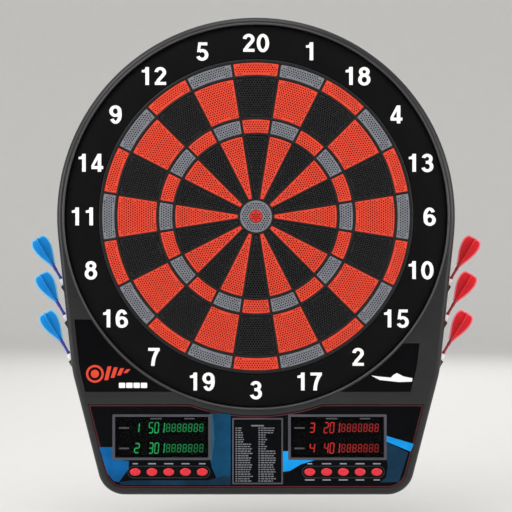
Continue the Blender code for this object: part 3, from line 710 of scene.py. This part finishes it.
def make_front_housing():
    """The casing: a rounded rim, the target's well, the panel's pocket and the two shoulder recesses."""
    shell = Shell()
    back = CASE_BACK_EDGE
    loops = [(casing_outline(0.0026), back), (casing_outline(0.0002), back)]
    loops += [(casing_outline(0), depth) for depth in (0.009, 0.016, 0.024)]
    for k in range(10):
        a = pi / 2 * k / 9
        inset = CASE_ROUNDING * (1 - cos(a))
        loops.append((casing_outline(inset), DECK_FRONT - CASE_ROUNDING + CASE_ROUNDING * sin(a)))
    top = shell.wall(loops)
    well = rim_wall(shell)
    ledge = panel(0.004)
    mouth = rounded(panel(), PANEL_LEDGE, DECK_FRONT, side=-1)
    mouths = [well, shell.wall([(ledge, 0.0324), (ledge, PANEL_LEDGE)] + mouth)]
    for side in (-1, 1):
        loops = rounded(shoulder(side), SHOULDER_FLOOR, DECK_FRONT, 0.0005, -1)
        mouths.append(shell.wall(loops))
        floor = shell.loop(loops[0][0], SHOULDER_FLOOR)
        shell.flat(floor, slot=1)
    shell.flat(top, mouths)
    cut_holes(shell.show("casing", [CASE, GLOSS, RIM_PAINTED_HIGHLIGHT], "board", "case_plastic", ["front_housing"]))


def cut_holes(body):
    """Cuts the darts' bores, whose walls lie inside the holders' own, and the jack's hole."""
    radius, end, reach = 0.005, 0.0725, 0.02
    middle = Matrix.Translation((0, 0, (reach - end) / 2))
    holes = [(radius, end + reach, matrix @ middle) for matrix in dart_places().values()]
    holes.append((JACK_HOLE, 0.012, Matrix.Translation((JACK_X, -JACK_DEPTH, BOTTOM))))
    cutters = bpy.data.collections.new("cutters")
    for radius, depth, matrix in holes:
        bpy.ops.mesh.primitive_cylinder_add(vertices=32, radius=radius, depth=depth)
        cutter = bpy.context.object
        cutter.matrix_world = matrix
        bpy.context.collection.objects.unlink(cutter)
        cutters.objects.link(cutter)
    cut = body.modifiers.new("bores", "BOOLEAN")
    cut.operand_type = "COLLECTION"
    cut.collection = cutters
    cut.solver = "EXACT"
    graph = bpy.context.evaluated_depsgraph_get()
    body.data = bpy.data.meshes.new_from_object(body.evaluated_get(graph))
    body.data.set_sharp_from_angle(angle=SHARP)
    body.modifiers.clear()
    for cutter in list(cutters.objects):
        bpy.data.objects.remove(cutter)


def make_holders():
    """The six tubes that hold the darts, with a raised collar at the casing's wall."""
    bore, outside, waist, lip, floor, end = 0.0042, 0.0056, -0.03, 0.0016, -0.0712, -0.074
    profile = [(0.0, floor), (bore, floor), (bore, waist), (bore, lip), (0.0046, 0.0021), (0.0052, 0.0021)]
    profile += [(outside, lip), (outside, waist), (outside, end), (0.0, end)]
    for name, matrix in dart_places().items():
        shell = Shell()
        lathe(shell, profile, 32)
        shell.show(f"holder_{name}", [CASE], "board", "case_plastic", matrix=matrix)


KEYHOLE_ENTRY, KEYHOLE_SLOT, KEYHOLE_RISE = 0.005, 0.0026, 0.011
TRAY_FLOOR, TRAY_EDGE, TRAY_ROUNDING = 0.0025, 0.0006, 0.0016
GROOVE_RADII, GROOVE_DEPTH = (0.206, 0.112), 0.0007


def keyhole(centre):
    x, y = centre
    half = asin(KEYHOLE_SLOT / KEYHOLE_ENTRY)
    entry = arc((x, y), KEYHOLE_ENTRY, pi / 2 + half, pi / 2 - half + tau, 36)
    return entry + arc((x, y + KEYHOLE_RISE), KEYHOLE_SLOT, 0, pi, 14)


def grille_slots():
    """Seven slots that together fill a disc."""
    pitch, width, radius = 0.005, 0.0022, 0.02
    for k in range(-3, 4):
        half = sqrt(radius**2 - (k * pitch) ** 2)
        yield box_about((SPEAKER[0], SPEAKER[1] + k * pitch), (2 * half, width), 0.00105)


def make_rear_cover():
    """The tray that closes the back: keyholes, speaker grille, screw wells, grooves and a blank sticker."""
    shell = Shell()
    inside = casing_outline(0.0032)
    outer = [(inside, TRAY_FLOOR), (inside, 0.0078), (casing_outline(0.001), 0.008)]
    outer += [(casing_outline(TRAY_EDGE), 0.0077), (casing_outline(TRAY_EDGE), TRAY_ROUNDING)]
    for a in (radians(30), radians(60), radians(90)):
        inset = TRAY_EDGE + TRAY_ROUNDING * (1 - cos(a))
        outer.append((casing_outline(inset), TRAY_ROUNDING - TRAY_ROUNDING * sin(a)))
    floor = shell.loop(*outer[0])
    rim = shell.wall(outer)
    fronts, backs, grooves = [], [], []
    for loop in (*map(keyhole, KEYHOLES), *grille_slots()):
        fronts.append(shell.loop(loop, TRAY_FLOOR))
        backs.append(shell.loop(offset(loop, -0.0003), 0.0))
        inner = shell.loop(loop, 0.0004)
        shell.strip(fronts[-1], inner)
        shell.strip(inner, backs[-1])
    for x, y in KEYHOLES:
        pocket = box_about((x, y + 0.004), (0.019, 0.029), 0.004)
        deep = shell.wall([(offset(pocket, 0.0004), 0.0027), (pocket, 0.0076)])
        shell.flat(deep)
    for centre in screw_places():
        well = ((0.0034, 0.0), (0.0032, 0.0002), (0.0032, 0.0022), (0.0002, 0.0022))
        backs.append(shell.rings([(circle(radius, 24, centre), depth) for radius, depth in well])[0])
    for middle in GROOVE_RADII:
        profile = ((0.0015, 0.0), (0.0008, GROOVE_DEPTH), (-0.0008, GROOVE_DEPTH), (-0.0015, 0.0))
        ids = shell.rings([(circle(middle + out, 180), depth) for out, depth in profile])
        grooves.append((ids[0], ids[-1]))
    for k in range(12):
        spoke = turned_loop(box_about((0.159, 0.0), (0.078, 0.003), 0.00145), k * pi / 6)
        lip, foot = shell.rings([(spoke, 0.0), (offset(spoke, 0.0006), GROOVE_DEPTH)])
        shell.flat(foot)
        backs.append(lip)
    shell.raised(0.0001, -0.00006, 1, box_about((-0.075, -0.29), (0.072, 0.038), 0.002))

    def holes_within(low, high):
        return [ids for ids in backs if low < Vector(shell.points[ids[0]][:2]).length < high]

    outer_groove, inner_groove = grooves
    shell.flat(rim, holes_within(GROOVE_RADII[0], 1) + [outer_groove[0]])
    shell.flat(outer_groove[1], holes_within(*GROOVE_RADII[::-1]) + [inner_groove[0]])
    shell.flat(inner_groove[1])
    shell.flat(floor, fronts)
    shell.show("rear_tray", [CASE_BACK, STICKER], "board", "case_plastic", ["rear_cover"])
    for k, centre in enumerate(screw_places()):
        make_screw(f"rear_screw_{k + 1:02d}", centre)


def make_screw(name, centre):
    """A pan-head screw with a cross recess, sunk in its well."""
    shell = Shell()
    cross = []
    arm, half, taper, face, recess = 0.0014, 0.00032, 0.6, 0.0008, 0.0018
    for k in range(4):
        cross += turned_loop([(half, -half), (arm, -half), (arm, half)], k * pi / 2)
    head = circle(0.0027, 28, centre)
    loops = [(head, 0.0021), (head, 0.0014), (offset(head, 0.0003), 0.001), (offset(head, 0.0009), face)]
    rim = shell.wall(loops)
    crosses = [[(centre[0] + x * s, centre[1] + y * s) for x, y in cross] for s in (1, taper)]
    mouth, foot = shell.rings(zip(crosses, (face, recess)))
    shell.flat(foot)
    shell.flat(rim, [mouth])
    shell.show(name, [SCREW], "board", "speaker_metal")


def make_shoulder_emblems():
    """Plain printed shapes on the dark shoulders: a ringed disc, slanted bars, four tabs and a slim dart."""
    shell = Shell()
    white, red = 0, 1

    def patch(slot, *loops):
        shell.raised(SHOULDER_FLOOR, SHOULDER_FLOOR + 0.00008, slot, *loops)

    disc = (-0.203, -0.1985)
    patch(red, circle(0.0112, 48, disc), circle(0.0084, 48, disc))
    patch(red, circle(0.0052, 36, disc))
    for k in range(4):
        x, top, low = -0.187 + k * 0.008, -0.189 - k * 0.0012, -0.2065 + k * 0.003
        patch(red, [(x, top), (x - 0.0042, low), (x + 0.0006, low), (x + 0.0048, top)])
    for k in range(4):
        patch(white, box_about((-0.155 + (k - 1.5) * 0.0092, -0.213), (0.008, 0.0066), 0.001))
    nose = [(0.145, -0.2006), (0.156, -0.202), (0.17, -0.2033), (0.173, -0.2), (0.1775, -0.1975)]
    tail = [(0.186, -0.2018), (0.1972, -0.204), (0.1965, -0.2083), (0.18, -0.2088), (0.156, -0.2062)]
    patch(white, nose + tail)
    shell.show("shoulder_print", [WHITE, RED], "board", "panel_print")


# ---- control panel


def button_centres():
    for bank, middle in BUTTON_BANKS.items():
        for k in range(5):
            yield f"button_{bank}_{k + 1}", (middle + (k - 2) * BUTTON_PITCH, BUTTON_Y)


CARD = (0.002, -0.2957)


def menu_rows(rng):
    """Dashes that stand for the two columns of the printed game menu."""
    height, gap, pitch = 0.0014, 0.0008, 0.0029
    dashes = [box_about((CARD[0], CARD[1] + 0.032), (0.016, 0.0018))]
    for start, short_rows in ((-0.0258, range(0, 7)), (0.003, range(3, 10))):
        for row in range(24):
            y = CARD[1] + 0.029 - row * pitch
            end = start + (0.01 if row in short_rows else 0.0195) + rng.uniform(-0.0015, 0.0025)
            dashes.append(box_about((start + 0.0011, y), (0.0022, height)))
            x = start + 0.0033
            while x < end - height:
                width = min(rng.uniform(0.0016, 0.0044), end - x)
                dashes.append(box_about((x + width / 2, y), (width, height)))
                x += width + gap
    return dashes


def panel_art():
    """The panel's blue shards, as (outline, colour), in the order in which they are printed."""
    left, right, top = -0.058, -0.032, -0.2484
    band = [(left, top), (right, top), (right, -0.3372), (-0.056, -0.3372), (-0.05, -0.329)]
    band.append((left + 0.002, -0.315))
    glint = [(left, top), (-0.0545, top), (-0.052, -0.28), (-0.0565, -0.312), (left, -0.3)]
    strip = [(-0.172, -0.3345), (-0.156, -0.3325), (-0.06, -0.3325), (-0.04, -0.3265)]
    strip += [(right, -0.3265), (right, -0.3385), (-0.17, -0.3385)]
    wedge = [(-0.1978, -0.2908), (-0.179, -0.2908), (-0.179, -0.306), (-0.16, -0.308)]
    wedge += [(-0.1605, -0.318), (-0.1725, -0.3348), (-0.1795, -0.3334), (-0.1868, -0.324)]
    shard = [(0.0335, -0.2958), (0.044, -0.2958), (0.044, -0.3066), (0.074, -0.3072)]
    shard += [(0.057, -0.3122), (0.043, -0.3204), (0.0335, -0.3218)]
    swathe = [(0.16, -0.283), (0.164, -0.284), (0.1918, -0.2975), (0.18, -0.3345)]
    swathe += [(0.156, -0.3352), (0.1635, -0.329), (0.166, -0.314)]
    blade = [(0.16, -0.2752), (0.199, -0.2868), (0.1945, -0.2962), (0.16, -0.2818)]
    shapes = (band, glint, strip, wedge, shard, swathe, blade)
    return zip(shapes, (TEAL, TEAL_EDGE, NAVY, BLUE, SKY, NAVY, SKY))


def make_fascia():
    """The printed panel: blue shards on black, the displays' frames, the menu and the buttons' surrounds."""
    rng = random.Random(8)
    art = [(panel(0.0008), MAROON), (panel(0.0022), PRINT), *panel_art()]
    art += [(box_about(centre, (0.124, 0.0575), 0.0012), FRAME_GREY) for centre in WINDOWS.values()]
    art.append((box_about(CARD, (0.064, 0.0835), 0.0012), FRAME_GREY))
    art.append((box_about(CARD, (0.06, 0.0795), 0.0008), PRINT))
    art += [(dash, MENU_GREY) for dash in menu_rows(rng)]
    for bank, x in BUTTON_BANKS.items():
        length = 4 * BUTTON_PITCH + 0.0185
        art.append((box_about((x, BUTTON_Y), (length + 0.0008, 0.0152), 0.0075), FRAME_GREY))
        art.append((box_about((x, BUTTON_Y), (length, 0.0144), 0.0071), PILL))
        for k in range(5):
            centre = x + (k - 2) * BUTTON_PITCH
            for y in (BUTTON_Y + 0.0104, BUTTON_Y - 0.01)[: 1 if bank == "left" else 2]:
                art.append((box_about((centre, y), (rng.uniform(0.006, 0.0125), 0.0014)), TEXT_GREY))
    surfaces = [PRINT, TEAL, TEAL_EDGE, NAVY, BLUE, SKY, MAROON, FRAME_GREY, TEXT_GREY, MENU_GREY, PILL]
    regions = [(outline, surfaces.index(surface)) for outline, surface in art]
    holes = [box_about(c, WINDOW_SIZE, 0.0006) for c in WINDOWS.values()]
    holes += [ellipse(c, [s + 0.0007 for s in BUTTON_SIZE]) for _, c in button_centres()]
    shell = Shell()
    gap = 0.0003
    rim = shell.wall(chamfered(panel(gap), PANEL_LEDGE + gap, PANEL_FRONT, 0.0003))
    mouths = [shell.wall(chamfered(hole, PANEL_LEDGE + gap, PANEL_FRONT, 0.0002, -1)) for hole in holes]
    shell.flat(rim, mouths, 0, regions)
    shell.show("fascia", surfaces, "board", "panel_print", ["control_panel"])


# The lit bars of each character that the displays show.
SEGMENTS = {"0": "abcdef", "1": "bc", "2": "abged", "3": "abgcd", "4": "fgbc", "5": "afgcd", "8": "abcdefg"}


def digit_segments(x, y, width, height, lean=0.09):
    """The seven bars of a display digit: a loop for each letter."""
    thick = width * 0.2
    w, h, t = width / 2 - thick / 2, height / 2 - thick / 2, thick / 2
    gap = thick * 0.12

    def bar(cx, low, high):
        a, b = low + gap, high - gap
        return [(cx, a), (cx + t, a + t), (cx + t, b - t), (cx, b), (cx - t, b - t), (cx - t, a + t)]

    bars = {"f": bar(-w, 0, h), "b": bar(w, 0, h), "e": bar(-w, -h, 0), "c": bar(w, -h, 0)}
    for letter, level in (("a", h), ("g", 0), ("d", -h)):
        bars[letter] = [(-along, across) for across, along in bar(level, -w, w)]
    return {key: [(x + px + lean * py, y + py) for px, py in loop] for key, loop in bars.items()}


READINGS = {"left": (("1", "501"), ("2", "301")), "right": (("3", "201"), ("4", "401"))}
ROW_HEIGHTS = (0.0114, -0.0143)
MODULE_BACK, MODULE_FRONT, BAR_FRONT = 0.0254, 0.034, 0.0342
PANE_BACK, PANE_FRONT, LABEL_THICKNESS = 0.0361, 0.0376, 0.0001


def make_module(side, cx, cy):
    """A dark block with two rows of lit digits and dimmer marks."""
    shell = Shell()
    base = box_about((cx, cy), [s - 0.0008 for s in WINDOW_SIZE], 0.001)
    shell.flat(shell.wall(chamfered(base, MODULE_BACK, MODULE_FRONT, 0.0004)))

    def digit(character, x, y, size, slot):
        for letter, loop in digit_segments(x, y, *size).items():
            if letter in SEGMENTS[character]:
                shell.raised(MODULE_FRONT, BAR_FRONT, slot, loop)

    for (player, score), height in zip(READINGS[side], ROW_HEIGHTS):
        y = cy + height
        digit(player, cx - 0.0315, y, (0.0068, 0.0128), 1)
        for k, character in enumerate(score):
            digit(character, cx - 0.0138 + k * 0.0072, y, (0.0058, 0.014), 1)
        for k in range(7):
            digit("8", cx + 0.0078 + k * 0.007, y, (0.005, 0.0104), 2)
    surfaces = [MODULE, GREEN_LED, DIM_GREEN] if side == "left" else [MODULE, RED_LED, DIM_RED]
    shell.show(f"display_{side}", surfaces, "board", "display_module", [f"display_module_{side}"])


def make_pane(side, cx, cy):
    """A smoked pane with plain labels printed on its back."""
    pane = box_about((cx, cy), [s - 0.0006 for s in WINDOW_SIZE], 0.0005)
    shell = Shell()
    back = shell.loop(pane, PANE_BACK)
    front = shell.wall(chamfered(pane, PANE_BACK, PANE_FRONT, 0.0003))
    shell.flat(back)
    shell.flat(front)
    labels = [box_about((cx - 0.0476, cy + height), (0.0128, 0.0019)) for height in ROW_HEIGHTS]
    headings = ((-0.007, 0.014), (0.035, 0.013))
    labels += [box_about((cx + x, cy + 0.0232), (width, 0.0016)) for x, width in headings]
    for label in labels:
        under = shell.loop(label, PANE_BACK - LABEL_THICKNESS)
        shell.strip(under, shell.loop(label, PANE_BACK), 1)
        shell.flat(under, slot=1)
    shell.show(f"window_{side}", [LENS, TEXT_GREY], "board", "smoked_lens", [f"display_lens_{side}"])


def make_displays():
    for side, centre in WINDOWS.items():
        make_module(side, *centre)
        make_pane(side, *centre)


def make_buttons():
    back, shoulder_height, dome = 0.034, 0.038, 0.0014
    for name, centre in button_centres():
        shell = Shell()
        loops = [(ellipse(centre, BUTTON_SIZE), back), (ellipse(centre, BUTTON_SIZE), shoulder_height)]
        for k in range(1, 9):
            a = radians(k * 10.5)
            shrink = 1 - 0.92 * (1 - cos(a)) ** 1.1
            smaller = ellipse(centre, [s * shrink for s in BUTTON_SIZE])
            loops.append((smaller, shoulder_height + dome * sin(a) ** 0.9))
        shell.cap(shell.wall(loops))
        shell.show(f"{name}_cap", [BUTTON], name, "button_red", [name], radians(60))


# ---- darts


def dart_places():
    """Each dart's place in the scene: its own +z runs from its tip towards its flight."""
    places = {}
    for word, side in (("left", -1), ("right", 1)):
        for k, (x, y, depth) in enumerate(DART_ENTRIES):
            lean = Matrix.Rotation(side * DART_LEAN, 4, "Y")
            places[f"{word}_dart_{k + 1}"] = Matrix.Translation((side * x, -depth, y)) @ lean
    return places


# The last is the width of the pale band painted along each flight's edge as a highlight.
FLIGHT_START, FLIGHT_LENGTH, FLIGHT_HALF_WIDTH, FLIGHT_HIGHLIGHT_WIDTH = 0.03, 0.041, 0.0121, 0.0018


def flight_outline():
    """A flight's pear-shaped outline, as (distance from the dart's middle, place along the dart)."""
    side, widest = [], 0.76
    for k in range(17):
        side.append((0.28 + 0.72 * sin(pi / 2 * k / 16) ** 1.2, widest * k / 16))
    for k in range(1, 13):
        a = pi / 2 * k / 12
        side.append((0.5 + 0.5 * cos(a) ** 0.9, widest + (1 - widest) * sin(a)))
    side = [(w * FLIGHT_HALF_WIDTH, FLIGHT_START + s * FLIGHT_LENGTH) for w, s in side]
    return side + [(-w, s) for w, s in reversed(side)]


def make_flight(shell, turn, edge_slot, half=0.00028):
    """One of a flight's two crossed sheets, with a pale band along its edge on both faces: a painted
    highlight.
    """
    outline = flight_outline()
    sheet = Shell()
    edge = sheet.wall([(outline, -half), (outline, half)], edge_slot)
    # Outside this inner loop the sheet takes the pale edge colour: a painted highlight.
    highlight_edge = (offset(outline, FLIGHT_HIGHLIGHT_WIDTH), 0)
    sheet.flat(edge, (), 1, [highlight_edge])
    sheet.flat(range(len(outline)), (), 1, [highlight_edge])
    spin = Matrix.Rotation(turn, 4, "Z")
    start = len(shell.points)
    shell.points += [tuple(spin @ Vector((x, depth, along))) for x, along, depth in sheet.points]
    shell.faces += [tuple(start + k for k in face) for face in sheet.faces]
    shell.slots += sheet.slots


BARREL_RADIUS, GRIP_RADIUS, GRIPS, GRIP_PITCH = 0.0033, 0.003, 16, 0.0024


def vane_surfaces(word, vane, edge, shaft):
    """The materials of one side's flights, of the painted highlight along their edges and of their shafts.
    """
    flight = moulded(f"{word}_flight", vane, 0.3, vary=0.1, specular=0.3)
    highlight_edge = moulded(f"{word}_flight_edge_highlight", edge, 0.32, vary=0.06, specular=0.3)
    return [flight, highlight_edge, moulded(f"{word}_shaft", shaft, 0.28, vary=0.1)]


def barrel_profile():
    """A barrel with its collar, grip rings and tip, as (radius, place), and the slot of each strip."""
    collar = [(0.0, 0.0102), (0.0026, 0.0102), (BARREL_RADIUS, 0.0096), (0.0038, 0.0084), (0.0038, 0.004)]
    collar += [(0.0034, 0.0034), (BARREL_RADIUS, 0.003)]
    metal = []
    for k in range(GRIPS):
        z = GRIP_PITCH - k * GRIP_PITCH
        metal += [(BARREL_RADIUS, z), (GRIP_RADIUS, z - 0.0003)]
        metal += [(GRIP_RADIUS, z - 0.0009), (BARREL_RADIUS, z - 0.0012)]
    metal += [(BARREL_RADIUS, -0.04), (0.0031, -0.0425), (0.0024, -0.046)]
    tip = [(0.0016, -0.0472), (0.0013, -0.049), (0.0011, -0.066), (0.0007, -0.07), (0.0, -0.0712)]
    return collar + metal + tip, [2] * (len(collar) - 1) + [0] * len(metal) + [1] * len(tip)


def make_darts():
    shaft_profile = [(0.0, 0.0104), (0.002, 0.0104), (0.0021, 0.0108), (0.0021, 0.013), (0.0017, 0.014)]
    shaft_profile += [(0.0017, 0.0225), (0.0021, 0.024), (0.0021, 0.032), (0.0012, 0.0355), (0.0, 0.036)]
    profile, slots = barrel_profile()
    # Each side's second colour is a lighter copy of its flight colour, painted along the flights' edges as a
    # highlight.
    blue = vane_surfaces("blue", (2, 138, 214), (120, 196, 232), (58, 62, 168))
    red = vane_surfaces("red", (216, 26, 40), (238, 128, 140), (156, 30, 48))
    for name, matrix in dart_places().items():
        shell = Shell()
        lathe(shell, profile, 32, slots)
        surfaces = [BARREL, TIP, COLLAR]
        shell.show(f"{name}_metal", surfaces, name, "barrel_metal", [f"{name}_barrel"], matrix=matrix)
        slot, surfaces = ("blue_flight", blue) if name.startswith("left") else ("red_flight", red)
        shell = Shell()
        lathe(shell, shaft_profile, 24, [2] * len(shaft_profile))
        make_flight(shell, 0, 1)
        make_flight(shell, pi / 2, 0)
        shell.show(f"{name}_vanes", surfaces, name, slot, [f"{name}_flight"], matrix=matrix)


# ---- inner pieces


def finish_inner_nodes():
    """The CAD's own solids inside the board are shown as they are, in their materials."""
    surfaces = {
        "rubber_mat": moulded("mat_rubber", (40, 40, 40), 0.85),
        "membrane_switch": moulded("switch_film", (190, 192, 182), 0.35),
        "pressure_board": moulded("backing_board", (132, 100, 66), 0.85, vary=0.2, bump=0.3),
        "controller_board": moulded("circuit_board", (20, 92, 48), 0.45, vary=0.25),
        "speaker": SCREW,
        "power_jack": moulded("jack_plastic", (12, 12, 13), 0.35),
    }
    for name, surface in surfaces.items():
        for slot in frame["nodes"][name].material_slots:
            slot.material = surface


# ---- studio


def make_studio():
    """A pale floor that sweeps up into a round wall, soft lamps, and a camera square on to the board."""
    middle = Vector((0, 0, (cad_low.z + cad_high.z) / 2))
    radius, curve, wall_height, drop = 5.2, 1.6, 3.6, 0.06
    angles = [pi / 2 * k / 12 for k in range(13)]
    sweep = [(radius - curve + curve * sin(a), curve - curve * cos(a)) for a in angles]
    shell = Shell()
    lathe(shell, [(0.0, 0.0)] + sweep + [(radius, wall_height)], 96)
    paint = moulded("floor_paint", (222, 221, 219), 0.85, vary=0.006, scale=60, bump=0.0, specular=0.2)
    floor = bpy.data.objects.new("floor", shell.mesh("floor", [paint], transform=None))
    floor.location = (0, 0, cad_low.z - drop)
    link(floor)

    scene = bpy.context.scene
    world = bpy.data.worlds.new("studio")
    world.use_nodes = True
    set_inputs(world.node_tree.nodes["Background"], {"Color": (0.86, 0.86, 0.86, 1), "Strength": 0.85})
    scene.world = world

    for name, place, size, power in (
        ("key", (-1.5, -1.6, 1.7), 1.4, 24),
        ("fill", (1.8, -1.6, 0.7), 1.6, 12),
        ("top", (0.0, -1.0, 2.0), 1.2, 13),
        ("left", (-2.0, -0.9, 0.3), 1.0, 13),
        ("right", (2.0, -0.9, 0.3), 1.0, 9),
        ("back", (0.3, 2.2, 1.2), 2.0, 18),
    ):
        lamp = bpy.data.lights.new(name, "AREA")
        lamp.size, lamp.energy = size, power
        obj = bpy.data.objects.new(name, lamp)
        obj.location = middle + Vector(place)
        obj.rotation_euler = (-Vector(place)).to_track_quat("-Z", "Y").to_euler()
        link(obj)

    lens = bpy.data.cameras.new("camera")
    lens.lens = 85
    camera = bpy.data.objects.new("camera", lens)
    camera.location = (0, -1.56, middle.z)
    camera.rotation_euler = (radians(90), 0, 0)
    link(camera)
    scene.camera = camera
    scene.view_settings.view_transform = "Standard"


make_front_housing()
make_holders()
make_rear_cover()
make_number_ring()
make_spider()
make_beds()
make_bulls()
make_shoulder_emblems()
make_fascia()
make_displays()
make_buttons()
make_darts()
finish_inner_nodes()
make_studio()

bpy.context.view_layer.update()
